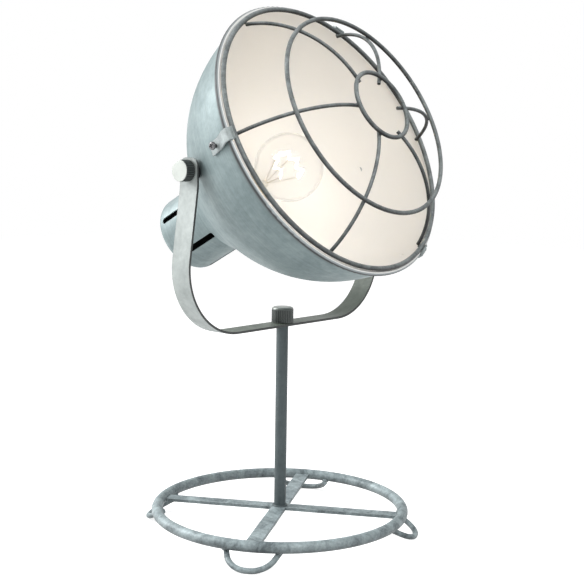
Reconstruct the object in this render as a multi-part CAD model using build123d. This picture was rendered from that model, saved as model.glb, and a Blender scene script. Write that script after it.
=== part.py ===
from build123d import *
import os
from math import acos, cos, pi, radians, sin, sqrt, tan

# Tabletop searchlight lamp.  Millimetres, +Z up, origin on the table under the pole.
# At rest the yoke lies in the XZ plane and the shade looks towards -Y, tilted up.
# The shade's own frame has its axis on local +Z, the tilt axis on local X and z = 0 on
# the tilt axis, so a place along the shade's axis is called a station below.

# ---------------------------------------------------------------- driving dimensions
# Base
ring_radius = 110.0            # centre line of the base ring
ring_tube_radius = 4.75
bar_width = 13.0
bar_thickness = 2.5
base_turn = 30.0               # azimuth of the long cross bar, yoke at rest
foot_wire_radius = 2.4
foot_half_width = 23.0         # half the spacing of a loop's two legs at the ring
foot_length = 20.5             # from the weld to the tip, along the loop
foot_slope = 28.0              # degrees below the horizontal
foot_tip_half_width = 15.0     # half the spacing of the two legs, drawn on to the tip
foot_bend_radius = 20.0
# Pole and swivel
pole_top = 183.5
pole_radius = 5.3
pole_wall = 1.2
plug_length = 16.0
stud_radius = 3.0
# Yoke
tilt_height = 319.5            # tilt axis above the table
yoke_half_width = 113.0        # centre of the strap at the tilt axis
strap_width = 20.0
strap_thickness = 2.0
strap_corner_radius = 56.0
strap_lean = 8.0               # degrees, arms leaning in towards the top
strap_pad = 13.0               # upright length of the strap below the tilt axis
strap_pad_bend = 45.0
strap_end = 10.5               # strap above the tilt axis
strap_end_radius = 7.0
# Knobs
side_knob_radius = 8.7
side_knob_length = 10.0
top_nut_radius = 9.7
top_nut_length = 14.0
top_nut_round = 2.5
knob_bore_depth = 8.0
bore_end_gap = 1.0             # stud's end short of the bore's bottom
knob_chamfer = 0.6
flute_radius = 0.55
flute_out = 0.2                # a flute's centre, outside the knob's edge
side_flutes = 36
top_flutes = 36
# Shade
tilt_rest = 27.6               # degrees, shade axis above the horizontal
sheet = 1.0
rim_radius = 122.8             # centre line of the rolled rim
rim_station = 60.0
rim_bead_radius = 2.2
rim_meet = 27.0                # degrees round the bead to where the wall meets it
rim_slope = 8.0                # slopes are degrees between the wall and the axis
bowl_front_station = 30.0
bowl_front_inset = 6.6         # the wall's outside, from the rim's centre line
bowl_front_slope = 14.0
pivot_wall_radius = 104.5      # outside of the bowl at the tilt axis
pivot_wall_slope = 27.0
bowl_middle_station = -30.0
bowl_middle_radius = 83.0
bowl_middle_slope = 42.0
bowl_neck_station = -54.0
bowl_neck_radius = 59.5
bowl_neck_slope = 42.0
bowl_back_station = -76.0
bowl_back_radius = 44.0        # outside of the bowl where it turns in
bowl_back_slope = 39.0
bowl_back_round = 9.0
can_radius = 35.5
can_length = 61.0
can_round = 6.0
can_flange = 6.0
slot_count = 6
slot_width = 5.8
slot_length = 49.0
slot_front_gap = 4.0           # from the bowl to a slot's front end
slot_turn = 41.5               # degrees from the tilt axis to the first slot
rivet_count = 3
rivet_radius = 1.6
rivet_head_radius = 2.9
rivet_head = 1.3
head_rounding = 0.7            # of the height of a rivet's or a screw's head
# Pivots
spacer_radius = 6.2
# Guard
guard_wire_radius = 2.0
inner_ring_wire_radius = 1.8
spoke_wire_radius = 1.5
guard_outer_inset = 2.8        # outer ring's centre line, inside the rim's
guard_outer_rise = 3.8         # outer ring's centre line, in front of the rim's
guard_height = 54.3            # from the outer ring to the centre ring
guard_middle_radius = 88.2
guard_centre_radius = 29.3
spoke_arc_radius = 88.8        # each spoke is one arc in a plane through the axis
spoke_stub = 2.4               # spoke end inside the centre ring
spoke_count = 6
tab_count = 3
tab_turn = 60.0                # degrees from the tilt axis to the first tab
tab_width = 10.0
tab_thickness = 1.5
tab_bend_radius = 1.2
tab_end_station = 35.0
tab_front_lip = 2.0
guard_screw_station = 42.5
guard_screw_radius = 1.5
guard_screw_head_radius = 3.2
guard_screw_head = 1.9
guard_screw_proud = (3.4, 3.4, 7.0)  # bare shank between each tab and its screw's head
guard_screw_inside = 0.4
recess_width = 0.9
recess_length = 3.8
# Lamp holder and bulb (E27)
holder_radius = 19.5
holder_wall = 2.5
holder_front_station = -46.0
holder_split_station = -82.5
holder_back_station = -97.0
holder_round = 5.0
holder_collar_radius = 24.0
holder_collar = 2.5
holder_ring_radius = 24.5
holder_ring_length = 5.0
notch_count = 6
notch_width = 2.5
notch_depth = 3.5
core_length = 7.0
centre_contact_height = 1.4
thread_radius = 13.0           # outside of the bulb's screw cap
thread_depth = 0.9
thread_turns = 5
thread_pitch = 3.8
thread_start = 1.0             # from the cap's back end
screw_shell_wall = 0.6
screw_shell_length = 21.5
bulb_length = 106.0
globe_radius = 30.0
globe_station = 6.0
globe_join = 125.0             # degrees from the tip to where the throat starts
glass_wall = 0.8
bulb_cap_length = 25.0
bulb_neck_radius = 14.6
bulb_neck_length = 6.0
cap_collar = 0.4
cap_collar_length = 2.0
contact_radius = 4.8
contact_length = 1.2
insulator_length = 3.0
stem_radius = 3.6
stem_flare_radius = 7.2
stem_flare_length = 3.6
stem_station = -27.0           # top of the glass stem
filament_radius = 14.0
filament_station = 5.0
filament_zigzag = 3.2
filament_points = 13
filament_sweep = 250.0
filament_wire_radius = 0.3
lead_wire_radius = 0.35
lead_count = 4
# Cord gland
gland_bore_radius = 3.6
gland_body_radius = 5.0
gland_flange_radius = 9.0
gland_flange = 3.0
gland_round = 0.9
gland_length = 9.0
gland_tip_radius = 5.6
gland_root_radius = 6.6
gland_nut_radius = 8.5
gland_nut_length = 3.5
gland_nut_gap = 0.1
# Clearances
seat_gap = 0.3                 # between faces of pieces that move past each other
weld_gap = 0.1                 # between welded wires
fit_gap = 0.05                 # radial, a stud in its hole

# ---------------------------------------------------------------- worked-out places
foot_contact = ring_tube_radius + foot_wire_radius + weld_gap
foot_seat_radius = sqrt(ring_radius**2 - foot_half_width**2)
ring_height = (foot_contact * cos(radians(foot_slope)) + foot_length * sin(radians(foot_slope))
               + foot_wire_radius)
strap_bottom = pole_top + seat_gap
strap_top_face = strap_bottom + strap_thickness
top_nut_seat = strap_top_face + seat_gap
stud_in_knob = knob_bore_depth - bore_end_gap
can_back_station = bowl_back_station - can_length
bulb_tip_station = globe_station + globe_radius
guard_outer_radius = rim_radius - guard_outer_inset
guard_outer_station = rim_station + guard_outer_rise
contact_station = bulb_tip_station - bulb_length
cap_back_station = contact_station + contact_length + insulator_length
cap_front_station = cap_back_station + bulb_cap_length
core_front_station = contact_station - weld_gap - centre_contact_height
stud_hole_radius = stud_radius + fit_gap
shade_place = Location((0, 0, tilt_height), (90 - tilt_rest, 0, 0))


def keep(name, shape):
    """Write one piece to its own STEP file."""
    shape.label = name
    export_step(shape, f"parts/{name}.step")


def in_shade(shape):
    """Move a piece from the shade's own frame to its place on the lamp."""
    return shade_place * shape


def disc(radius, low, high):
    """Round bar on local Z between two stations."""
    return Pos(0, 0, low) * Cylinder(radius, high - low, align=(Align.CENTER, Align.CENTER, Align.MIN))


def tube(outer, inner, low, high):
    return disc(outer, low, high) - disc(inner, low - 1, high + 1)


def along_x(radius, low, high):
    """Round bar on local X between two places."""
    return Rot(0, 90, 0) * disc(radius, low, high)


def hexagon_bar(radius, low, high):
    return Pos(0, 0, low) * extrude(RegularPolygon(radius, 6), high - low)


def around(count, shape, start=0):
    """Copies of a shape set evenly about local Z, as one group."""
    solids = []
    for index in range(count):
        turn = Rot(0, 0, start + 360 * index / count)
        solids += (turn * shape).solids()
    return Compound(solids)


def revolved(*curves):
    """Turn a closed outline, drawn as (radius, station), about local Z."""
    outline = Plane.XZ * make_face(Curve() + list(curves))
    return revolve(outline, Axis.Z)


# ---------------------------------------------------------------- base
def base_ring():
    return Pos(0, 0, ring_height) * Torus(ring_radius, ring_tube_radius)


def cross_bars():
    """One bar right across the ring and two halves that butt against its sides."""
    reach = ring_radius - ring_tube_radius - weld_gap
    round_end = Cylinder(reach, bar_thickness)
    long_bar = Box(2 * reach + 2, bar_width, bar_thickness) & round_end
    half_length = reach + 2
    half = Box(bar_width, half_length, bar_thickness, align=(Align.CENTER, Align.MIN, Align.CENTER))
    half = (Pos(0, bar_width / 2, 0) * half) & round_end
    place = Location((0, 0, ring_height), (0, 0, base_turn))
    return {
        "cross_bar_long": place * long_bar,
        "cross_bar_half_front": place * (Rot(0, 0, 180) * half),
        "cross_bar_half_back": place * half,
    }


def foot_loop(azimuth):
    """U of bent wire, welded under the ring and sloping outwards down to the table."""
    start = -foot_wire_radius
    leg = [(start, foot_half_width), (foot_length, foot_tip_half_width)]
    points = leg + [(out, -side) for out, side in reversed(leg)]
    path = FilletPolyline(*points, radius=foot_bend_radius)
    section = Plane(origin=path @ 0, z_dir=path % 0) * Circle(foot_wire_radius)
    loop = sweep(section, path=path)
    slope = radians(foot_slope)
    seat = Location((foot_seat_radius - foot_contact * sin(slope), 0,
                     ring_height - foot_contact * cos(slope)), (0, foot_slope, 0))
    return Rot(0, 0, azimuth) * (seat * loop)


def pole():
    """Tube with a threaded plug in its top end that carries the stud."""
    foot = ring_height + bar_thickness / 2
    plug_bottom = pole_top - plug_length
    stud_bottom = plug_bottom + stud_radius
    plug = tube(pole_radius - pole_wall - fit_gap, stud_hole_radius, plug_bottom, pole_top)
    stud = disc(stud_radius, stud_bottom, top_nut_seat + stud_in_knob)
    stud = chamfer(stud.edges().group_by(Axis.Z)[-1], knob_chamfer)
    return {
        "pole_tube": tube(pole_radius, pole_radius - pole_wall, foot, pole_top),
        "pole_plug": plug,
        "swivel_stud": stud,
    }


# ---------------------------------------------------------------- yoke
def yoke_strap():
    """Flat strap bent to a U, its arms leaning in to upright pads at the tilt axis."""
    bottom = strap_bottom + strap_thickness / 2
    pad_low = tilt_height - strap_pad
    corner = yoke_half_width + (pad_low - bottom) * tan(radians(strap_lean))
    top = tilt_height + strap_end
    arm = [(yoke_half_width, top), (yoke_half_width, pad_low), (corner, bottom)]
    points = arm + [(-x, z) for x, z in reversed(arm)]
    radii = [strap_pad_bend, strap_corner_radius, strap_corner_radius, strap_pad_bend]
    path = FilletPolyline(*points, radius=radii)
    outline = trace(path, strap_thickness)
    strap = extrude(Plane.XZ * outline, strap_width / 2, both=True)
    tips = strap.edges().filter_by(Axis.X).group_by(Axis.Z)[-1]
    strap = fillet(tips, strap_end_radius)
    pivot_hole = Pos(0, 0, tilt_height) * along_x(stud_hole_radius, -corner, corner)
    stud_hole = disc(stud_hole_radius, strap_bottom - 1, strap_top_face + 1)
    return strap - pivot_hole - stud_hole


# ---------------------------------------------------------------- knobs
def fluted_knob(radius, length, flutes, rounding):
    """Straight-fluted thumb nut standing on local z = 0, with a blind bore from below."""
    knob = disc(radius, 0, length)
    knob = fillet(knob.edges().group_by(Axis.Z)[-1], rounding)
    knob = chamfer(knob.edges().group_by(Axis.Z)[0], knob_chamfer)
    groove = disc(flute_radius, knob_chamfer, length - rounding)
    knob -= around(flutes, Pos(radius + flute_out, 0, 0) * groove)
    return knob - disc(stud_hole_radius, -1, knob_bore_depth)


def knobs():
    side = fluted_knob(side_knob_radius, side_knob_length, side_flutes, knob_chamfer)
    seat = yoke_half_width + strap_thickness / 2 + seat_gap
    top = fluted_knob(top_nut_radius, top_nut_length, top_flutes, top_nut_round)
    return {
        "side_knob_left": Location((-seat, 0, tilt_height), (0, -90, 0)) * side,
        "side_knob_right": Location((seat, 0, tilt_height), (0, 90, 0)) * side,
        "top_nut": Pos(0, 0, top_nut_seat) * top,
    }


# ---------------------------------------------------------------- shade
def bowl_curve(inset):
    """Bowl wall from the rim to the back plate as one curve, moved in by a sheet part."""
    back_slope = radians(bowl_back_slope)
    turn_station = bowl_back_station + bowl_back_round * (1 - sin(back_slope))
    meet = radians(rim_meet)
    reach = rim_bead_radius - sheet
    rim = (rim_radius - reach * cos(meet) - inset, rim_station - reach * sin(meet))
    points = [rim]
    for radius, station, slope in (
        (rim_radius - bowl_front_inset, bowl_front_station, bowl_front_slope),
        (pivot_wall_radius, 0, pivot_wall_slope),
        (bowl_middle_radius, bowl_middle_station, bowl_middle_slope),
        (bowl_neck_radius, bowl_neck_station, bowl_neck_slope),
        (bowl_back_radius, turn_station, bowl_back_slope),
    ):
        points.append((radius - inset * cos(radians(slope)), station + inset * sin(radians(slope))))
    rim_run = (-sin(radians(rim_slope)), -cos(radians(rim_slope)))
    back_run = (-sin(back_slope), -cos(back_slope))
    return Spline(*points, tangents=(rim_run, back_run))


def bowl_solid(inset):
    """Everything inside the bowl's wall, from the rim to the back plate."""
    wall = bowl_curve(inset)
    rim = wall @ 0
    turn = wall @ 1
    corner_radius = bowl_back_round - inset
    inner_end = (turn.X - corner_radius * cos(radians(bowl_back_slope)), bowl_back_station + inset)
    bend = TangentArc(turn, inner_end, tangent=wall % 1)
    base = Polyline(inner_end, (0, bowl_back_station + inset), (0, rim.Y), (rim.X, rim.Y))
    return revolved(wall, bend, base)


def shade_bowl(outside, cavity):
    """Spun bowl with a rolled rim, and holes for its pivots, screws, rivets and holder."""
    bowl = outside - cavity
    bowl += Pos(0, 0, rim_station) * Torus(rim_radius, rim_bead_radius)
    bowl -= disc(holder_radius + fit_gap, bowl_back_station - 1, bowl_back_station + 2 * sheet)
    bowl -= along_x(stud_hole_radius, -rim_radius, rim_radius)
    bowl -= radial_holes(guard_screw_radius + fit_gap)
    return bowl - rivet_bars(rivet_radius + fit_gap)


def radial_holes(radius):
    """Three bars that stand on the shade's axis at the guard screws' station."""
    bar = Pos(0, 0, guard_screw_station) * along_x(radius, bowl_neck_radius, rim_radius + 5)
    return around(tab_count, bar, tab_turn)


def rivet_bars(radius):
    pitch = can_radius - sheet - can_flange / 2
    bar = disc(radius, bowl_back_station - 2 * sheet, bowl_back_station + 2 * sheet)
    return around(rivet_count, Pos(pitch, 0, 0) * bar)


def rear_can():
    """Drawn can with a rounded back edge, cooling slots and a flange riveted to the bowl."""
    can = disc(can_radius, can_back_station, bowl_back_station)
    can = fillet(can.edges().group_by(Axis.Z)[0], can_round)
    inside = disc(can_radius - sheet, can_back_station + sheet, bowl_back_station - sheet)
    inside = fillet(inside.edges().group_by(Axis.Z)[0], can_round - sheet)
    can -= inside
    can -= disc(can_radius - sheet - can_flange, bowl_back_station - 2 * sheet, bowl_back_station + 1)
    can -= disc(gland_body_radius + fit_gap, can_back_station - 1, can_back_station + 2 * sheet)
    middle = bowl_back_station - slot_front_gap - slot_length / 2
    slot = extrude(Plane.YZ * SlotOverall(slot_length, slot_width, rotation=90), 2 * can_radius)
    can -= around(slot_count, Pos(0, 0, middle) * slot, slot_turn)
    return can - rivet_bars(rivet_radius + fit_gap)


def can_rivets():
    """Three rivets through the can's flange and the bowl's back plate."""
    pitch = can_radius - sheet - can_flange / 2
    front = bowl_back_station + sheet
    back = bowl_back_station - sheet
    shank = disc(rivet_radius, back, front)
    head = disc(rivet_head_radius, front, front + rivet_head)
    head = fillet(head.edges().group_by(Axis.Z)[-1], head_rounding * rivet_head)
    tail = disc(rivet_head_radius, back - rivet_head, back)
    return around(rivet_count, Pos(pitch, 0, 0) * (shank + head + tail))


# ---------------------------------------------------------------- pivots
def pivots(outside, cavity):
    """Clinch stud, flush inside the bowl, and its spacer at each end of the tilt axis."""
    arm_face = yoke_half_width - strap_thickness / 2 - seat_gap
    stud_end = yoke_half_width + strap_thickness / 2 + seat_gap + stud_in_knob
    inner_end = pivot_wall_radius - spacer_radius
    stud = along_x(stud_radius, inner_end, stud_end) - cavity
    spacer = Rot(0, 90, 0) * tube(spacer_radius, stud_hole_radius, inner_end, arm_face) - outside
    half_turn = Rot(0, 0, 180)
    return {
        "pivot_stud_right": stud,
        "pivot_stud_left": half_turn * stud,
        "pivot_spacer_right": spacer,
        "pivot_spacer_left": half_turn * spacer,
    }


# ---------------------------------------------------------------- guard
def spoke_arc_centre():
    """Centre of the spokes' arc, which runs just under the outer and the centre ring."""
    outer = Vector(guard_outer_radius, guard_outer_station)
    centre = Vector(guard_centre_radius, guard_outer_station + guard_height)
    outer_reach = spoke_arc_radius + spoke_wire_radius + weld_gap + guard_wire_radius
    centre_reach = spoke_arc_radius + spoke_wire_radius + weld_gap + inner_ring_wire_radius
    span = (centre - outer).length
    along = (span**2 + outer_reach**2 - centre_reach**2) / (2 * span)
    drop = sqrt(outer_reach**2 - along**2)
    run = (centre - outer).normalized()
    return outer + run * along + Vector(-run.Y, run.X) * drop


def ring_station(radius, wire_radius):
    """Station of a ring that lies on the outside of the spokes."""
    arc = spoke_arc_centre()
    reach = spoke_arc_radius + spoke_wire_radius + weld_gap + wire_radius
    return arc.Y + sqrt(reach**2 - (radius - arc.X) ** 2)


def guard_ring(radius, wire_radius):
    return Pos(0, 0, ring_station(radius, wire_radius)) * Torus(radius, wire_radius)


def guard_spokes():
    """Six wires, each bent to one arc that runs under the three rings."""
    arc = spoke_arc_centre()
    reach = spoke_arc_radius + spoke_wire_radius + weld_gap + guard_wire_radius
    first = acos((guard_outer_radius - arc.X) / reach)
    inner_end = guard_centre_radius - inner_ring_wire_radius - spoke_stub
    last = pi - acos((arc.X - inner_end) / spoke_arc_radius)
    middle = (first + last) / 2
    points = []
    for angle in (first, middle, last):
        radius = arc.X + spoke_arc_radius * cos(angle)
        station = arc.Y + spoke_arc_radius * sin(angle)
        points.append(Plane.XZ.from_local_coords((radius, station)))
    path = ThreePointArc(*points)
    section = Plane(origin=path @ 0, z_dir=path % 0) * Circle(spoke_wire_radius)
    return around(spoke_count, sweep(section, path=path))


def wall_radius_at(station):
    """Outside radius of the bowl at a station."""
    wall = bowl_curve(0)
    low, high = 0.0, 0.5
    for _ in range(30):
        guess = (low + high) / 2
        if (wall @ guess).Y > station:
            low = guess
        else:
            high = guess
    return (wall @ low).X


def guard_tabs():
    """Three strips from the outer ring, over the rolled rim and back along the bowl."""
    half = tab_thickness / 2
    over_ring = guard_outer_radius + guard_wire_radius + weld_gap + half
    over_rim = rim_radius + rim_bead_radius + weld_gap + half
    landing = guard_screw_station + guard_screw_head_radius + tab_thickness
    landing_wall = wall_radius_at(landing)
    end_wall = wall_radius_at(tab_end_station)
    bulge = wall_radius_at((landing + tab_end_station) / 2) - (landing_wall + end_wall) / 2
    on_wall = seat_gap + bulge + half
    points = [
        (over_ring, guard_outer_station + tab_front_lip),
        (over_ring, guard_outer_station),
        (over_rim, rim_station + rim_bead_radius),
        (over_rim, rim_station - rim_bead_radius),
        (landing_wall + on_wall, landing),
        (end_wall + on_wall, tab_end_station),
    ]
    path = FilletPolyline(*points, radius=tab_bend_radius)
    strip = extrude(Plane.XZ * trace(path, tab_thickness), tab_width / 2, both=True)
    tabs = around(tab_count, strip, tab_turn)
    return tabs - radial_holes(guard_screw_radius + fit_gap)


def guard_screw(proud):
    """Cross-head screw on local X, its head standing proud of the tab."""
    wall = wall_radius_at(guard_screw_station)
    head_low = wall + seat_gap + tab_thickness + proud
    head_high = head_low + guard_screw_head
    screw = along_x(guard_screw_radius, wall - sheet - guard_screw_inside, head_low)
    head = along_x(guard_screw_head_radius, head_low, head_high)
    head = fillet(head.edges().group_by(Axis.X)[-1], head_rounding * guard_screw_head)
    slit = Box(guard_screw_head, recess_width, recess_length)
    recess = slit + Rot(90, 0, 0) * slit
    return screw + head - Pos(head_high, 0, 0) * recess


def guard_screws():
    """Three screws, the last one turned out a little."""
    screws = []
    for index, proud in enumerate(guard_screw_proud):
        turn = Rot(0, 0, tab_turn + 360 * index / tab_count)
        screws += (turn * Pos(0, 0, guard_screw_station) * guard_screw(proud)).solids()
    return Compound(screws)


# ---------------------------------------------------------------- lamp holder and bulb
def lamp_holder():
    """E27 holder clamped in the bowl's back plate by a collar and a threaded ring."""
    collar_low = bowl_back_station + sheet
    inner = holder_radius - holder_wall
    shell = disc(holder_radius, holder_split_station, holder_front_station)
    shell += disc(holder_collar_radius, collar_low, collar_low + holder_collar)
    shell -= disc(inner, holder_split_station - 1, holder_front_station + 1)
    cap = disc(holder_radius, holder_back_station, holder_split_station)
    cap = fillet(cap.edges().group_by(Axis.Z)[0], holder_round)
    cap -= disc(inner, holder_back_station + holder_wall, holder_split_station + 1)
    cap -= disc(gland_bore_radius, holder_back_station - 1, holder_split_station)
    core_back = core_front_station - core_length
    core = disc(inner - fit_gap, core_back, core_front_station)
    shell_inner = thread_radius + seat_gap
    screw_shell = tube(shell_inner + screw_shell_wall, shell_inner, core_front_station,
                       core_front_station + screw_shell_length)
    ring_high = bowl_back_station - weld_gap
    ring = tube(holder_ring_radius, holder_radius + fit_gap, ring_high - holder_ring_length, ring_high)
    notch = Box(2 * notch_depth, notch_width, holder_ring_length)
    notch = Pos(holder_ring_radius, 0, ring_high - holder_ring_length) * notch
    return {
        "holder_shell": shell,
        "holder_cap": cap,
        "holder_core": core,
        "screw_shell": screw_shell,
        "centre_contact": disc(contact_radius, core_front_station, contact_station - weld_gap),
        "holder_ring": ring - around(notch_count, notch),
    }


def bulb_outline(inset):
    """Globe and neck of the glass as (radius, station), moved in by the glass wall."""
    globe = globe_radius - inset

    def on_globe(degrees):
        """Place on the globe, counted from its tip."""
        return (globe * sin(radians(degrees)), globe_station + globe * cos(radians(degrees)))

    tip = (0, globe_station + globe)
    shoulder = on_globe(globe_join)
    neck = (bulb_neck_radius - inset, cap_front_station + bulb_neck_length)
    foot = (bulb_neck_radius - inset, cap_front_station + weld_gap)
    front = ThreePointArc(tip, on_globe(45), on_globe(90))
    side = ThreePointArc(on_globe(90), on_globe((90 + globe_join) / 2), shoulder)
    throat = Spline(shoulder, neck, tangents=(side % 1, (0, -1)))
    return [front, side, throat, Polyline(neck, foot, (0, foot[1]), tip)]


def zigzag_filament():
    """Tungsten wire in a zigzag round part of a circle, square to the shade's axis."""
    points = []
    for index in range(filament_points):
        angle = radians(90 + filament_sweep * (index / (filament_points - 1) - 0.5))
        station = filament_station + filament_zigzag * (1 if index % 2 else -1)
        points.append((filament_radius * cos(angle), filament_radius * sin(angle), station))
    path = Polyline(*points)
    section = Plane(origin=path @ 0, z_dir=path % 0) * Circle(filament_wire_radius)
    return sweep(section, path=path, transition=Transition.ROUND), points


def straight_wire(radius, start, end):
    line = Line(start, end)
    return sweep(Plane(origin=line @ 0, z_dir=line % 0) * Circle(radius), path=line)


def bulb():
    """A60 lamp: glass, screw cap, contact, glass stem, lead wires and filament."""
    glass = revolved(*bulb_outline(0)) - revolved(*bulb_outline(glass_wall))
    cap = disc(thread_radius, cap_back_station, cap_front_station)
    for turn in range(thread_turns):
        station = cap_back_station + thread_start + thread_pitch * (turn + 0.5)
        cap -= Pos(0, 0, station) * Torus(thread_radius + thread_depth, 2 * thread_depth)
    cap += disc(bulb_neck_radius + cap_collar, cap_front_station - cap_collar_length, cap_front_station)
    cap = chamfer(cap.edges().group_by(Axis.Z)[0], thread_depth)
    insulator = Pos(0, 0, cap_back_station - insulator_length / 2) * (
        Rot(180, 0, 0) * Cone(thread_radius - 2 * thread_depth, contact_radius + 1, insulator_length))
    contact_top = contact_station + contact_length
    stem_low = cap_front_station + weld_gap
    stem = disc(stem_flare_radius, stem_low, stem_low + stem_flare_length)
    stem += disc(stem_radius, stem_low, stem_station)
    stem += Pos(0, 0, stem_station) * Sphere(stem_radius)
    filament, points = zigzag_filament()
    inner = 1 - (filament_wire_radius + lead_wire_radius) / filament_radius
    button = (0, 0, stem_station)
    leads = []
    for x, y, station in points[::(filament_points - 1) // (lead_count - 1)]:
        end = (x * inner, y * inner, station)
        leads += (straight_wire(lead_wire_radius, button, end) - stem).solids()
    return {
        "bulb_glass": glass,
        "bulb_cap": cap,
        "bulb_insulator": insulator,
        "bulb_contact": disc(contact_radius, contact_station, contact_top),
        "bulb_stem": stem,
        "bulb_lead_wires": Compound(leads),
        "bulb_filament": filament,
    }


# ---------------------------------------------------------------- cord gland
def cord_gland():
    """Bush through the can's back, held by a hexagon nut inside."""
    back = can_back_station
    flange = disc(gland_flange_radius, back - gland_flange, back)
    flange = fillet(flange.edges().group_by(Axis.Z)[0], gland_round)
    nose = Pos(0, 0, back - gland_length) * Cone(
        gland_tip_radius, gland_root_radius, gland_length - gland_flange / 2,
        align=(Align.CENTER, Align.CENTER, Align.MIN))
    barrel = disc(gland_body_radius, back - 1, back + sheet + gland_nut_length + 1)
    gland = flange + nose + barrel - disc(gland_bore_radius, back - 2 * gland_length, 0)
    nut_seat = back + sheet + gland_nut_gap
    nut = hexagon_bar(gland_nut_radius, nut_seat, nut_seat + gland_nut_length)
    return {"cord_gland": gland, "gland_nut": nut - disc(gland_body_radius + fit_gap, 2 * back, 0)}


# ---------------------------------------------------------------- the lamp
os.makedirs("parts", exist_ok=True)

keep("base_ring", base_ring())
for piece_name, piece in cross_bars().items():
    keep(piece_name, piece)
for number in range(4):
    keep(f"foot_loop_{number + 1}", foot_loop(base_turn + 90 * number))
for piece_name, piece in pole().items():
    keep(piece_name, piece)
keep("yoke_strap", yoke_strap())
for piece_name, piece in knobs().items():
    keep(piece_name, piece)

bowl_outside = bowl_solid(0)
bowl_cavity = bowl_solid(sheet)
shade_pieces = {
    "shade_bowl": shade_bowl(bowl_outside, bowl_cavity),
    "rear_can": rear_can(),
    "can_rivets": can_rivets(),
    "guard_outer_ring": guard_ring(guard_outer_radius, guard_wire_radius),
    "guard_middle_ring": guard_ring(guard_middle_radius, inner_ring_wire_radius),
    "guard_centre_ring": guard_ring(guard_centre_radius, inner_ring_wire_radius),
    "guard_spokes": guard_spokes(),
    "guard_tabs": guard_tabs(),
    "guard_screws": guard_screws(),
}
shade_pieces |= pivots(bowl_outside, bowl_cavity) | lamp_holder() | bulb() | cord_gland()
for piece_name, piece in shade_pieces.items():
    keep(piece_name, in_shade(piece))
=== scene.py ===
import math
import bpy
from mathutils import Matrix, Vector


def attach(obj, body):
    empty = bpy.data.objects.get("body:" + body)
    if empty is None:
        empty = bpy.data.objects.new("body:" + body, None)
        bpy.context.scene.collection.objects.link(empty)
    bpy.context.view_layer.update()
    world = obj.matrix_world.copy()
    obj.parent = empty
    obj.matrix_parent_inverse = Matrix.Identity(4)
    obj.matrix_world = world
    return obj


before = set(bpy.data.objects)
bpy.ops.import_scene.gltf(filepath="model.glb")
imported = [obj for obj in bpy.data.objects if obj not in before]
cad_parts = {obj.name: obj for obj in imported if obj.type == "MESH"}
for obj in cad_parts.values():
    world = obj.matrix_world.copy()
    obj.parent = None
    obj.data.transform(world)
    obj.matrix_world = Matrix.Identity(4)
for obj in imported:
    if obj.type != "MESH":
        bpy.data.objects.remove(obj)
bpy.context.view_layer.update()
bpy.ops.object.select_all(action="DESELECT")

# ---------------------------------------------------------------- base ring, cross bars and feet
# A round steel tube bent to a ring and butt-welded, flat bars crossed inside it and four
# bent-wire loops welded underneath.  All are dipped in a mottled zinc-grey lacquer that
# pools light and dark, and rubs through to darker metal on the edges.  The edges are also
# painted darker as shade, and the tops are painted lighter and the undersides darker, as light and shade.


def feed(tree, node, inputs):
    """Each input gets its value, or a link from the socket that feeds it."""
    for key, value in inputs.items():
        if isinstance(value, bpy.types.NodeSocket):
            tree.links.new(value, node.inputs[key])
        else:
            node.inputs[key].default_value = value


def add_node(tree, kind, inputs, **settings):
    """A new node with its settings made and its inputs fed."""
    node = tree.nodes.new(kind)
    for key, value in settings.items():
        setattr(node, key, value)
    feed(tree, node, inputs)
    return node


def noise(tree, place, scale, detail=2.0, roughness=0.5, distortion=0.0):
    """The level of a noise pattern."""
    inputs = {"Vector": place, "Scale": scale, "Detail": detail, "Roughness": roughness, "Distortion": distortion}
    return add_node(tree, "ShaderNodeTexNoise", inputs).outputs["Fac"]


def calculate(tree, operation, *values, clamp=False):
    """What a math node makes of its numbers."""
    node = add_node(tree, "ShaderNodeMath", dict(enumerate(values)), operation=operation, use_clamp=clamp)
    return node.outputs[0]


def ranged(tree, value, measured, wanted=(0.0, 1.0), curve="LINEAR"):
    """A number carried from the measured range to the wanted one, and held inside it."""
    inputs = {"Value": value, "From Min": measured[0], "From Max": measured[1],
              "To Min": wanted[0], "To Max": wanted[1]}
    return add_node(tree, "ShaderNodeMapRange", inputs, interpolation_type=curve).outputs["Result"]


def mix_numbers(tree, share, first, second):
    """Two numbers mixed, with the second one's share."""
    return add_node(tree, "ShaderNodeMix", {"Factor": share, "A": first, "B": second}).outputs["Result"]


def mix_colors(tree, share, first, second, blend_type="MIX"):
    """Two colours mixed, each a triple of numbers or a socket, with the second one's share."""
    first, second = (color if isinstance(color, bpy.types.NodeSocket) else (*color, 1) for color in (first, second))
    inputs = {"Factor": share, "A": first, "B": second}
    return add_node(tree, "ShaderNodeMix", inputs, data_type="RGBA", blend_type=blend_type).outputs["Result"]


def effect_group(name, inputs, outputs):
    """A node group for an effect, with the sockets of what it is given and the node that puts out."""
    group = bpy.data.node_groups.new(name, "ShaderNodeTree")
    for in_out, sockets in (("INPUT", inputs), ("OUTPUT", outputs)):
        for socket, kind in sockets.items():
            group.interface.new_socket(socket, in_out=in_out, socket_type="NodeSocket" + kind)
    return group, group.nodes.new("NodeGroupInput").outputs, group.nodes.new("NodeGroupOutput")


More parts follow.
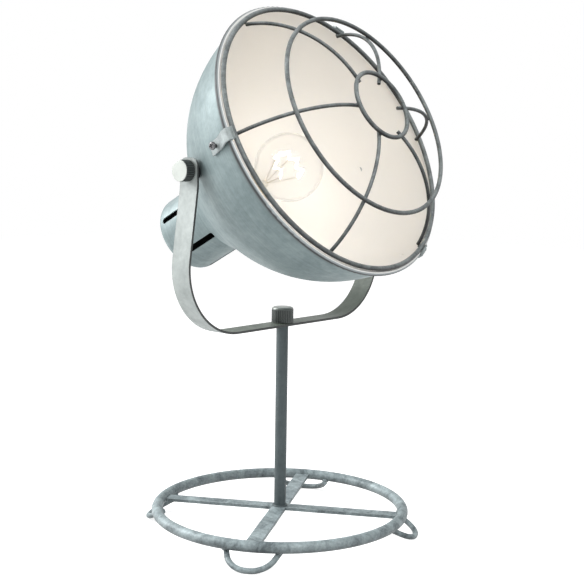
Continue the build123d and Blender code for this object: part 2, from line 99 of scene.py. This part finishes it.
# cloudy patches of light and dark lacquer, glossier where they are light
zinc_bloom, given, put_out = effect_group(
    "zinc_bloom",
    {"Vector": "Vector", "Light": "Color", "Dark": "Color", "Patch size": "Float", "Contrast": "Float",
     "Balance": "Float"},
    {"Color": "Color", "Roughness": "Float", "Height": "Float"},
)
clouds = noise(zinc_bloom, given["Vector"], given["Patch size"], detail=6.0, roughness=0.62, distortion=0.6)
speck_scale = calculate(zinc_bloom, "MULTIPLY", given["Patch size"], 7.0)
specks = noise(zinc_bloom, given["Vector"], speck_scale, detail=3.0, roughness=0.7)
speck_share = 0.32
blend = mix_numbers(zinc_bloom, speck_share, clouds, specks)
centred = calculate(zinc_bloom, "SUBTRACT", blend, 0.5)
spread = calculate(zinc_bloom, "MULTIPLY", centred, given["Contrast"])
lightness = calculate(zinc_bloom, "ADD", spread, given["Balance"], clamp=True)
feed(zinc_bloom, put_out, {
    "Color": mix_colors(zinc_bloom, lightness, given["Dark"], given["Light"]),
    "Roughness": ranged(zinc_bloom, lightness, (0.0, 1.0), (0.62, 0.44)),
    "Height": blend,
})


def calculate_vector(tree, operation, *values):
    """What a vector math node makes of its places and directions: a vector, or a number."""
    node = add_node(tree, "ShaderNodeVectorMath", dict(enumerate(values)), operation=operation)
    return node.outputs["Value" if operation in ("DOT_PRODUCT", "LENGTH") else "Vector"]


# where sheared edges and corners are rubbed to darker metal and painted darker as shade: the rounded normal leaves
# the true one there
rubbed_and_shaded_edges, given, put_out = effect_group("rubbed_and_shaded_edges", {"Vector": "Vector", "Amount": "Float"}, {"Mask": "Float"})
rounded = add_node(rubbed_and_shaded_edges, "ShaderNodeBevel", {"Radius": 0.0008}, samples=6)
true_face = add_node(rubbed_and_shaded_edges, "ShaderNodeNewGeometry", {})
apart = calculate_vector(rubbed_and_shaded_edges, "DOT_PRODUCT", rounded.outputs["Normal"], true_face.outputs["Normal"])
corner = ranged(rubbed_and_shaded_edges, apart, (0.99, 0.84))
ragged = ranged(rubbed_and_shaded_edges, noise(rubbed_and_shaded_edges, given["Vector"], scale=300.0, detail=3.0), (0.35, 0.6))
worn_and_shaded = calculate(rubbed_and_shaded_edges, "MULTIPLY", corner, ragged)
feed(rubbed_and_shaded_edges, put_out, {"Mask": calculate(rubbed_and_shaded_edges, "MULTIPLY", worn_and_shaded, given["Amount"], clamp=True)})


def new_finish(name):
    """A material, its node tree, its shader, and the place and normal of the points it covers."""
    material = bpy.data.materials.new(name)
    material.use_nodes = True
    tree = material.node_tree
    return material, tree, tree.nodes["Principled BSDF"], tree.nodes.new("ShaderNodeTexCoord").outputs


def bloomed(tree, place, light, dark, patch_size, contrast, balance):
    """The outputs of the mottled lacquer: Color, Roughness and Height."""
    inputs = {"Vector": place, "Light": (*light, 1), "Dark": (*dark, 1), "Patch size": patch_size,
              "Contrast": contrast, "Balance": balance}
    return add_node(tree, "ShaderNodeGroup", inputs, node_tree=zinc_bloom).outputs


def axis_part(tree, vector, axis):
    """One of the three numbers of a vector."""
    return add_node(tree, "ShaderNodeSeparateXYZ", {"Vector": vector}).outputs[axis]


def bump(tree, height, strength, distance):
    """A normal bent by a height."""
    inputs = {"Height": height, "Strength": strength, "Distance": distance}
    return add_node(tree, "ShaderNodeBump", inputs).outputs["Normal"]


def lacquered_metal(name, light, dark, patch_size, contrast, balance, metallic=0.1, edge_wear_and_shade=0.0, painted_top_light_and_shade=0.0):
    """Zinc-grey lacquer on steel: mottled colour and gloss, fine orange peel, rubbed edges that also carry painted
    shade, and painted light on top with painted shade underneath.
    """
    material, tree, surface, place = new_finish(name)
    bloom = bloomed(tree, place["Object"], light, dark, patch_size, contrast, balance)
    coat = bloom["Color"]
    if painted_top_light_and_shade:
        # painted light on top and painted shade underneath, by which way each face turns
        painted_light_by_facing = ranged(tree, axis_part(tree, place["Normal"], "Z"), (-0.6, 0.9), (1 - painted_top_light_and_shade, 1 + painted_top_light_and_shade))
        coat = mix_colors(tree, 1.0, coat, painted_light_by_facing, "MULTIPLY")
    if edge_wear_and_shade:
        edge_wear_and_shade_mask = add_node(tree, "ShaderNodeGroup", {"Vector": place["Object"], "Amount": edge_wear_and_shade}, node_tree=rubbed_and_shaded_edges)
        # edges rubbed to darker metal, and painted darker as shade
        rubbed_and_shaded_metal = (0.10, 0.11, 0.11)
        coat = mix_colors(tree, edge_wear_and_shade_mask.outputs["Mask"], coat, rubbed_and_shaded_metal)
    feed(tree, surface, {
        "Base Color": coat,
        "Metallic": metallic,
        "Roughness": bloom["Roughness"],
        "Normal": bump(tree, bloom["Height"], strength=0.12, distance=0.0006),
    })
    return material


def finish_nodes(material, *names):
    """Give CAD pieces a finish, in their own material slots."""
    for name in names:
        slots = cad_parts[name].data.materials
        slots.clear()
        slots.append(material)


base_lacquer = lacquered_metal("mottled_zinc_lacquer", light=(0.36, 0.43, 0.442), dark=(0.08, 0.101, 0.109),
                               patch_size=66.0, contrast=3.1, balance=0.42, edge_wear_and_shade=0.9, painted_top_light_and_shade=0.45)
finish_nodes(base_lacquer, "base_ring", "cross_bar_long", "cross_bar_half_front", "cross_bar_half_back",
             "foot_loop_1", "foot_loop_2", "foot_loop_3", "foot_loop_4")


def weld_bead(name, half_size):
    """One uneven bead of weld metal round the origin."""
    bpy.ops.object.select_all(action="DESELECT")
    bpy.ops.mesh.primitive_uv_sphere_add(segments=14, ring_count=8, radius=1.0)
    bead = bpy.context.object
    bead.name = name
    bpy.ops.object.mode_set(mode="EDIT")
    bpy.ops.mesh.select_all(action="SELECT")
    bpy.ops.transform.vertex_random(offset=0.09, seed=4)
    bpy.ops.transform.resize(value=half_size, center_override=(0, 0, 0))
    bpy.ops.object.mode_set(mode="OBJECT")
    soft = bead.modifiers.new("soft", "SUBSURF")
    soft.levels = soft.render_levels = 1
    bpy.ops.object.modifier_apply(modifier="soft")
    bpy.ops.object.shade_smooth()
    return bead


def placed_copy(first, name, place, body, material):
    """A copy with its own mesh, its place in its mesh."""
    copy = bpy.data.objects.new(name, first.data.copy())
    bpy.context.scene.collection.objects.link(copy)
    copy.data.transform(place)
    copy.data.materials.clear()
    copy.data.materials.append(material)
    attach(copy, body)


ring_level = 0.01842        # centre line of the ring's tube
tube_to_weld = 0.0048       # from that centre line to a weld, square to the loop
first_foot_turn = 30        # degrees round the pole
foot_slope = math.radians(28)
foot_seat_radius = 0.10757  # from the pole to the line from leg to leg, at the ring
foot_half_width = 0.023     # between a loop's middle and each leg
foot_bead = weld_bead("foot_bead", half_size=(0.0034, 0.0033, 0.0016))
for foot in range(4):
    foot_turn = Matrix.Rotation(math.radians(first_foot_turn + 90 * foot), 4, "Z")
    for side, side_name in ((-1, "left"), (1, "right")):
        spot = (foot_seat_radius - tube_to_weld * math.sin(foot_slope), foot_half_width * side,
                ring_level - tube_to_weld * math.cos(foot_slope))
        weld_place = foot_turn @ Matrix.Translation(spot) @ Matrix.Rotation(foot_slope, 4, "Y")
        placed_copy(foot_bead, "foot_weld_%d_%s" % (foot + 1, side_name), weld_place, "base",
                    base_lacquer)
bpy.data.objects.remove(foot_bead)

# ---------------------------------------------------------------- pole, plug and swivel stud
# A straight steel tube welded upright on the crossing bars, lacquered a darker, evener
# grey.  A threaded plug in its top carries the stud on which the yoke swivels.
pole_lacquer = lacquered_metal("even_grey_lacquer", light=(0.092, 0.12, 0.125), dark=(0.04, 0.054, 0.058),
                               patch_size=45.0, contrast=1.8, balance=0.5)
finish_nodes(pole_lacquer, "pole_tube")
bars_top = 0.0197
bpy.ops.object.select_all(action="DESELECT")
bpy.ops.mesh.primitive_torus_add(major_segments=56, minor_segments=10, major_radius=0.0056, minor_radius=0.0014,
                                 location=(0, 0, bars_top))
pole_weld = bpy.context.object
pole_weld.name = "pole_foot_weld"
bpy.ops.object.mode_set(mode="EDIT")
bpy.ops.mesh.select_all(action="SELECT")
bpy.ops.transform.vertex_random(offset=0.00022, seed=2)
bpy.ops.mesh.vertices_smooth(factor=0.5, repeat=1)
bpy.ops.object.mode_set(mode="OBJECT")
bpy.ops.object.transform_apply(location=True, rotation=True, scale=True)
bpy.ops.object.shade_smooth()
pole_weld.data.materials.append(pole_lacquer)
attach(pole_weld, "base")


def plain_metal(name, color, roughness, stain=0.12, metallic=1.0):
    """Bare or plated metal, or a smooth moulding, with faint cloudy stains."""
    material, tree, surface, place = new_finish(name)
    clean = noise(tree, place["Object"], scale=260.0, detail=5.0)
    stained_color = [part * (1 - 2 * stain) for part in color]
    feed(tree, surface, {
        "Base Color": mix_colors(tree, clean, stained_color, color),
        "Metallic": metallic,
        "Roughness": ranged(tree, clean, (0.0, 1.0), (roughness + 0.08, roughness - 0.05)),
    })
    return material


zinc_plate = (0.52, 0.54, 0.54)
finish_nodes(plain_metal("zinc_plated_steel", zinc_plate, 0.34), "pole_plug", "swivel_stud")

# ---------------------------------------------------------------- yoke strap
# Flat steel strap bent to a U, with rounded ends drilled for the pivots.  The lacquer is
# the pale satin one, with a dark line along the sheared edges, painted for bare metal and
# for the shade they lie in.  The face inside the U, turned to the tilt axis, is painted
# darker as the shade the bowl throws on it.
tilt_height = 0.3195
strap_lacquer = lacquered_metal("pale_zinc_lacquer", light=(0.49, 0.535, 0.52), dark=(0.235, 0.265, 0.26),
                                patch_size=30.0, contrast=2.3, balance=0.58, edge_wear_and_shade=1.0)
tree = strap_lacquer.node_tree
place = tree.nodes.new("ShaderNodeTexCoord").outputs
painted = tree.nodes["Principled BSDF"].inputs["Base Color"]
# painted shade: the face inside the U, turned to the tilt axis, is darkened as the bowl shades it
to_tilt_axis = calculate_vector(tree, "SUBTRACT", (0, 0, tilt_height), place["Object"])
turned_in = calculate_vector(tree, "DOT_PRODUCT", to_tilt_axis, place["Normal"])
bowl_shaded_face = ranged(tree, turned_in, (0.0, 0.03))
painted_bowl_shade = mix_colors(tree, bowl_shaded_face, painted.links[0].from_socket, (0.47, 0.49, 0.43), "MULTIPLY")
# the sheared edges are painted dark, for bare metal and for the shade they lie in
sideways = calculate(tree, "ABSOLUTE", axis_part(tree, place["Normal"], "Y"))
bare_and_shaded_edge = ranged(tree, sideways, (0.6, 0.9), (0.0, 0.94))
bare_and_shaded_edge_color = (0.026, 0.028, 0.028)
tree.links.new(mix_colors(tree, bare_and_shaded_edge, painted_bowl_shade, bare_and_shaded_edge_color), painted)
finish_nodes(strap_lacquer, "yoke_strap")

# ---------------------------------------------------------------- thumb knobs
# Turned and straight-fluted nuts in satin nickel: one on the pole's stud over the strap,
# one on each pivot stud outside the arms.


def own_frame(tree, vector, turn, centre=(0, 0, 0)):
    """A place or direction of the lamp, as it is in a frame that is turned and moved."""
    inputs = {"Vector": vector, "Location": centre, "Rotation": turn}
    return add_node(tree, "ShaderNodeMapping", inputs, vector_type="TEXTURE").outputs["Vector"]


def fluted_nickel(name, knob_radius, turn, centre):
    """Satin nickel with painted shade in the flutes, and fine rings turned on the end face."""
    material, tree, surface, place = new_finish(name)
    from_axis = calculate_vector(tree, "MULTIPLY", own_frame(tree, place["Object"], turn, centre), (1, 1, 0))
    reach = calculate_vector(tree, "LENGTH", from_axis)
    crest_depth, groove_depth = 0.00004, 0.0003
    below_crest = ranged(tree, reach, (knob_radius - crest_depth, knob_radius - groove_depth))
    along_axis = axis_part(tree, own_frame(tree, place["Normal"], turn), "Z")
    side_wall = ranged(tree, calculate(tree, "ABSOLUTE", along_axis), (0.6, 0.3))
    flute = calculate(tree, "MULTIPLY", below_crest, side_wall)
    tarnish = noise(tree, place["Object"], scale=420.0, detail=4.0)
    crest = mix_colors(tree, tarnish, (0.07, 0.08, 0.078), (0.15, 0.165, 0.16))
    end_face = (0.45, 0.475, 0.45)
    nickel = mix_colors(tree, side_wall, end_face, crest)
    # painted shade at the bottom of the flutes
    flute_shade = (0.02, 0.022, 0.021)
    ring_pitch = 21000.0  # radians a metre: a turned ring each 0.3 mm
    rings = calculate(tree, "SINE", calculate(tree, "MULTIPLY", reach, ring_pitch))
    feed(tree, surface, {
        "Base Color": mix_colors(tree, flute, nickel, flute_shade),
        "Metallic": 0.55,
        "Roughness": ranged(tree, tarnish, (0.0, 1.0), (0.34, 0.48)),
        "Normal": bump(tree, rings, strength=0.12, distance=0.00005),
    })
    return material


top_nickel = fluted_nickel("fluted_nickel_nut", knob_radius=0.0097, turn=(0, 0, 0), centre=(0, 0, 0))
finish_nodes(top_nickel, "top_nut")
side_nickel = fluted_nickel("fluted_nickel_knob", knob_radius=0.0087, turn=(0, math.radians(90), 0),
                            centre=(0, 0, tilt_height))
finish_nodes(side_nickel, "side_knob_left", "side_knob_right")

# ---------------------------------------------------------------- spun bowl
# Sheet steel spun over a former, its rim rolled to a bead.  Outside it is zinc-grey
# lacquer brushed round the axis, with painted shade on the wall under the bead; inside it
# is sprayed with warm white enamel, which runs over the bead's crown.
shade_lean = math.radians(62.4)
enamel = (0.87, 0.848, 0.808)


def place_in_shade(tree, place):
    """The place of the point in the shade's own frame, whose Z is the shade's axis."""
    return own_frame(tree, place["Object"], (shade_lean, 0, 0), (0, 0, tilt_height))


def spun_metal(name, light, dark, inside, inside_roughness):
    """Lacquer brushed round the axis on faces that look outwards, and a second colour inside: enamel in the bowl,
    painted shade in the can.
    """
    material, tree, surface, place = new_finish(name)
    shade_place = place_in_shade(tree, place)
    bloom = bloomed(tree, shade_place, light, dark, patch_size=22.0, contrast=2.0, balance=0.5)
    drawn_round = add_node(tree, "ShaderNodeMapping", {"Vector": shade_place, "Scale": (9, 9, 420)})
    streaks = noise(tree, drawn_round.outputs["Vector"], scale=1.0, detail=4.0, roughness=0.65)
    streak_share = 0.28
    brushed = mix_colors(tree, streak_share, bloom["Color"], streaks, "OVERLAY")

    # inner faces look to the axis or straight forward, and lie below the bead's middle
    bead_middle = 0.0600
    from_axis = calculate_vector(tree, "MULTIPLY", shade_place, (1, 1, 0))
    shade_normal = own_frame(tree, place["Normal"], (shade_lean, 0, 0))
    outward = calculate_vector(tree, "DOT_PRODUCT", calculate_vector(tree, "NORMALIZE", from_axis), shade_normal)
    looks_in = calculate(tree, "LESS_THAN", outward, -0.15)
    looks_forward = calculate(tree, "GREATER_THAN", axis_part(tree, shade_normal, "Z"), 0.6)
    station = axis_part(tree, shade_place, "Z")
    below_bead = calculate(tree, "LESS_THAN", station, bead_middle)
    inner_face = calculate(tree, "MAXIMUM", looks_in, looks_forward)
    inner_face = calculate(tree, "MULTIPLY", inner_face, below_bead)

    # painted shade darkens the wall under the bead
    shade_starts, shade_ends, darkest_shade = 0.0530, 0.0585, 0.92
    bead_shade_mask = ranged(tree, station, (shade_starts, shade_ends), (0.0, darkest_shade), "SMOOTHSTEP")
    with_bead_shade = mix_colors(tree, bead_shade_mask, brushed, (0.025, 0.03, 0.03))

    # the bead from the mouth outwards: enamel, bare grey, and painted shade where it meets the wall
    bead_inside, bead_outside = 0.1206, 0.1250
    over_bead = ranged(tree, calculate_vector(tree, "LENGTH", from_axis), (bead_inside, bead_outside))
    bead_bands = add_node(tree, "ShaderNodeValToRGB", {"Fac": over_bead})
    bands = bead_bands.color_ramp.elements
    bands[0].position, bands[0].color = 0.66, (0.92, 0.92, 0.90, 1)
    # painted shade on the bead's outer edge, where it meets the wall
    bands[1].position, bands[1].color = 0.97, (0.045, 0.05, 0.052, 1)
    bands.new(0.73).color = (0.36, 0.395, 0.405, 1)
    bands.new(0.87).color = (0.32, 0.355, 0.365, 1)
    wall_ends, bead_starts = 0.0588, 0.0594
    on_bead = ranged(tree, station, (wall_ends, bead_starts))
    outside = mix_colors(tree, on_bead, with_bead_shade, bead_bands.outputs["Color"])

    bare_share = 0.30
    feed(tree, surface, {
        "Base Color": mix_colors(tree, inner_face, outside, inside),
        "Metallic": calculate(tree, "MULTIPLY", calculate(tree, "SUBTRACT", 1.0, inner_face), bare_share),
        "Roughness": mix_numbers(tree, inner_face, bloom["Roughness"], inside_roughness),
        "Normal": bump(tree, streaks, strength=0.10, distance=0.0004),
    })
    return material


bowl_finish = spun_metal("brushed_zinc_and_white_enamel", light=(0.275, 0.345, 0.35), dark=(0.105, 0.15, 0.156),
                         inside=enamel, inside_roughness=0.45)
finish_nodes(bowl_finish, "shade_bowl")

# ---------------------------------------------------------------- rear can and its rivets
# Drawn can with round-ended cooling slots, riveted to the bowl's back.  The outside is
# the bowl's lacquer; the inside is painted a dull near-black, as the shade within the can.
# inside: painted near-black, as the shade seen through the slots
can_finish = spun_metal("brushed_zinc_and_painted_shade", light=(0.31, 0.38, 0.385), dark=(0.13, 0.178, 0.185),
                        inside=(0.004, 0.004, 0.004), inside_roughness=1.0)
finish_nodes(can_finish, "rear_can")
finish_nodes(plain_metal("rivet_aluminium", (0.75, 0.76, 0.77), 0.3), "can_rivets")

# ---------------------------------------------------------------- wire guard
# Six bent wires under three wire rings, spot-welded where they cross, in a satin dark
# lacquer, painted pale on top and dark underneath as light and shade.  Three bent strips
# in the pale lacquer hold the outer ring to the bowl.
wire_lacquer = lacquered_metal("wire_lacquer", light=(0.20, 0.222, 0.222), dark=(0.06, 0.068, 0.07),
                               patch_size=110.0, contrast=2.8, balance=0.47, metallic=0.35, painted_top_light_and_shade=0.9)
finish_nodes(wire_lacquer, "guard_outer_ring", "guard_middle_ring", "guard_centre_ring", "guard_spokes")
tab_lacquer = lacquered_metal("tab_lacquer", light=(0.50, 0.56, 0.56), dark=(0.20, 0.23, 0.23),
                              patch_size=90.0, contrast=2.4, balance=0.55, edge_wear_and_shade=1.0)
finish_nodes(tab_lacquer, "guard_tabs")

# ---------------------------------------------------------------- pivots and guard screws
# Plated studs clinched in the bowl, with black spacers between it and the arms, and dark
# steel screws through the guard's tabs.  What shows of them inside the bowl is sprayed
# over with its enamel.
black_oxide = plain_metal("black_oxide", (0.045, 0.045, 0.05), 0.3, stain=0.2, metallic=0.7)
finish_nodes(black_oxide, "pivot_spacer_left", "pivot_spacer_right")


def sprayed_end(material, across, wall_reach):
    """Enamel over the end of a stud or screw inside the bowl's wall, its reach measured across the shade."""
    tree = material.node_tree
    surface = tree.nodes["Principled BSDF"]
    shade_place = place_in_shade(tree, tree.nodes.new("ShaderNodeTexCoord").outputs)
    out = calculate_vector(tree, "LENGTH", calculate_vector(tree, "MULTIPLY", shade_place, across))
    inside = calculate(tree, "LESS_THAN", out, wall_reach)
    bare_color = surface.inputs["Base Color"].links[0].from_socket
    bare_metallic = surface.inputs["Metallic"].default_value
    feed(tree, surface, {
        "Base Color": mix_colors(tree, inside, bare_color, enamel),
        "Metallic": ranged(tree, inside, (0.0, 1.0), (bare_metallic, 0.0)),
    })
    return material


pivot_steel = plain_metal("pivot_steel", zinc_plate, 0.34)
finish_nodes(sprayed_end(pivot_steel, (1, 0, 0), wall_reach=0.1043), "pivot_stud_left", "pivot_stud_right")
screw_steel = plain_metal("screw_steel", (0.20, 0.20, 0.205), 0.28, stain=0.3, metallic=0.8)
finish_nodes(sprayed_end(screw_steel, (1, 1, 0), wall_reach=0.1188), "guard_screws")

# ---------------------------------------------------------------- guard welds
# Small resistance welds where each spoke meets the three rings, a flattened bead of
# steel pressed out between the wires and lacquered with them.
shade_frame = Matrix.Translation((0, 0, tilt_height)) @ Matrix.Rotation(shade_lean, 4, "X")
arc_radius = 0.0888                   # of a spoke's centre line
arc_centre = Vector((0.0355, 0.026))  # from the shade's axis, and its station along it
spoke_wire_radius = 0.0015
guard_rings = (("outer", 0.120, 0.002), ("middle", 0.0882, 0.0018), ("centre", 0.0293, 0.0018))
guard_bead = weld_bead("weld_bead", half_size=(0.0018, 0.0017, 0.0009))
for spoke in range(6):
    spoke_turn = Matrix.Rotation(math.radians(60 * spoke), 4, "Z")
    for ring, ring_radius, ring_wire_radius in guard_rings:
        ring_reach = arc_radius + spoke_wire_radius + ring_wire_radius
        rise = math.sqrt(ring_reach ** 2 - (ring_radius - arc_centre.x) ** 2)
        away = Vector((ring_radius - arc_centre.x, rise)).normalized()
        join = arc_centre + away * (arc_radius + spoke_wire_radius)
        tip = Matrix.Rotation(math.atan2(away.x, away.y), 4, "Y")
        weld_place = shade_frame @ spoke_turn @ Matrix.Translation((join.x, 0, join.y)) @ tip
        placed_copy(guard_bead, "guard_weld_%s_%d" % (ring, spoke + 1), weld_place, "shade",
                    wire_lacquer)
bpy.data.objects.remove(guard_bead)

# ---------------------------------------------------------------- lamp holder
# Black moulded holder with a glazed core, a brass screw shell and a centre contact,
# clamped in the bowl's back plate by a threaded ring.  The cord gland in the can's back
# is moulded in the same black.
black_moulding = plain_metal("black_moulding", (0.018, 0.018, 0.018), 0.4, stain=0.15, metallic=0.0)
finish_nodes(black_moulding, "holder_shell", "holder_cap", "holder_ring", "cord_gland", "gland_nut")
porcelain = plain_metal("glazed_porcelain", (0.86, 0.85, 0.80), 0.2, stain=0.03, metallic=0.0)
finish_nodes(porcelain, "holder_core")
finish_nodes(plain_metal("contact_brass", (0.75, 0.60, 0.30), 0.3), "screw_shell", "centre_contact")

# ---------------------------------------------------------------- bulb
# Clear globe lamp of thin blown glass, faintly rippled, with a brass screw cap, a glass
# stem, four lead wires and a zigzag tungsten filament, lit.
clear_glass, tree, surface, place = new_finish("bulb_glass")
feed(tree, surface, {
    "Base Color": (0.99, 0.985, 0.97, 1),
    "Transmission Weight": 1.0,
    "IOR": 1.07,
    "Roughness": 0.36,
    "Coat Weight": 0.5,
    "Coat Roughness": 0.08,
    "Alpha": 0.22,
    "Normal": bump(tree, noise(tree, place["Object"], scale=40.0), strength=0.03, distance=0.001),
})
finish_nodes(clear_glass, "bulb_glass", "bulb_stem")
finish_nodes(plain_metal("cap_brass", (0.76, 0.66, 0.42), 0.3), "bulb_cap", "bulb_contact")
black_glass = plain_metal("black_glass", (0.02, 0.02, 0.03), 0.15, stain=0.1, metallic=0.0)
finish_nodes(black_glass, "bulb_insulator")
finish_nodes(plain_metal("nickel_wire", (0.62, 0.58, 0.50), 0.3), "bulb_lead_wires")
glow, tree, surface, place = new_finish("glowing_tungsten")
coil_heat = noise(tree, place["Object"], scale=220.0)
feed(tree, surface, {
    "Base Color": (0.9, 0.75, 0.5, 1),
    "Roughness": 0.5,
    "Emission Color": (1.0, 0.80, 0.52, 1),
    "Emission Strength": ranged(tree, coil_heat, (0.3, 0.7), (40.0, 85.0)),
})
finish_nodes(glow, "bulb_filament")

# ---------------------------------------------------------------- studio
# White sweep of floor and surroundings.  One large soft light stands behind on the left,
# a weaker one high in front, and the bulb gives its own light inside the shade.


def shows_surroundings(tree):
    """1 for rays that show the surroundings directly, in a gloss or through glass, else 0."""
    rays = tree.nodes.new("ShaderNodeLightPath").outputs
    direct_or_gloss = calculate(tree, "MAXIMUM", rays["Is Camera Ray"], rays["Is Glossy Ray"])
    return calculate(tree, "MAXIMUM", direct_or_gloss, rays["Is Transmission Ray"])


bpy.ops.mesh.primitive_plane_add(size=6.0, location=(0, 0, 0))
floor = bpy.context.object
floor.name = "studio_floor"
paper = bpy.data.materials.new("white_paper")
paper.use_nodes = True
tree = paper.node_tree
lift_to_white = 0.72
feed(tree, tree.nodes["Principled BSDF"], {
    "Base Color": (0.85, 0.85, 0.85, 1),
    "Roughness": 0.9,
    "Emission Color": (1, 1, 1, 1),
    "Emission Strength": calculate(tree, "MULTIPLY", shows_surroundings(tree), lift_to_white),
})
floor.data.materials.append(paper)

world = bpy.data.worlds.new("studio_air")
bpy.context.scene.world = world
world.use_nodes = True
tree = world.node_tree
light_on_lamp, shown_white = 0.25, 1.0
feed(tree, tree.nodes["Background"], {
    "Color": (1, 1, 1, 1),
    "Strength": ranged(tree, shows_surroundings(tree), (0.0, 1.0), (light_on_lamp, shown_white)),
})


def soft_light(name, place, target, size, watts):
    """Square area light that looks at a point."""
    light = bpy.data.lights.new(name, "AREA")
    light.size = size
    light.energy = watts
    stand = bpy.data.objects.new(name, light)
    bpy.context.scene.collection.objects.link(stand)
    stand.location = place
    stand.rotation_euler = (Vector(target) - Vector(place)).to_track_quat("-Z", "Y").to_euler()


soft_light("key_lamp", place=(-0.80, 1.35, 0.95), target=(0, 0, 0.25), size=0.9, watts=33)
soft_light("fill_lamp", place=(-0.7, -1.35, 1.6), target=(0, 0, 0.3), size=1.2, watts=22)
bulb_light = bpy.data.lights.new("bulb_light", "POINT")
bulb_light.energy = 0.125
bulb_light.color = (1.0, 0.95, 0.89)
bulb_light.shadow_soft_size = 0.012
bulb_glow = bpy.data.objects.new("bulb_light", bulb_light)
bpy.context.scene.collection.objects.link(bulb_glow)
filament_station = 0.005  # along the shade's axis, from the tilt axis
bulb_glow.location = (Matrix.Rotation(shade_lean, 4, "X") @ Vector((0, 0, filament_station))
                      + Vector((0, 0, tilt_height)))
bulb_glow.visible_camera = False
bulb_glow.visible_glossy = False
bulb_glow.visible_transmission = False

camera = bpy.data.cameras.new("camera")
camera.lens = 71.295
camera.shift_x = 0.00112
camera.shift_y = 0.00197
camera.sensor_width = 36.0
camera.clip_end = 20.0
viewer = bpy.data.objects.new("camera", camera)
bpy.context.scene.collection.objects.link(viewer)
viewer.location = (-0.75083, -0.67664, 0.33573)
viewer.rotation_euler = (math.radians(83.022), math.radians(-0.836), math.radians(-48.3))
bpy.context.scene.camera = viewer
bpy.context.scene.view_settings.view_transform = "Standard"
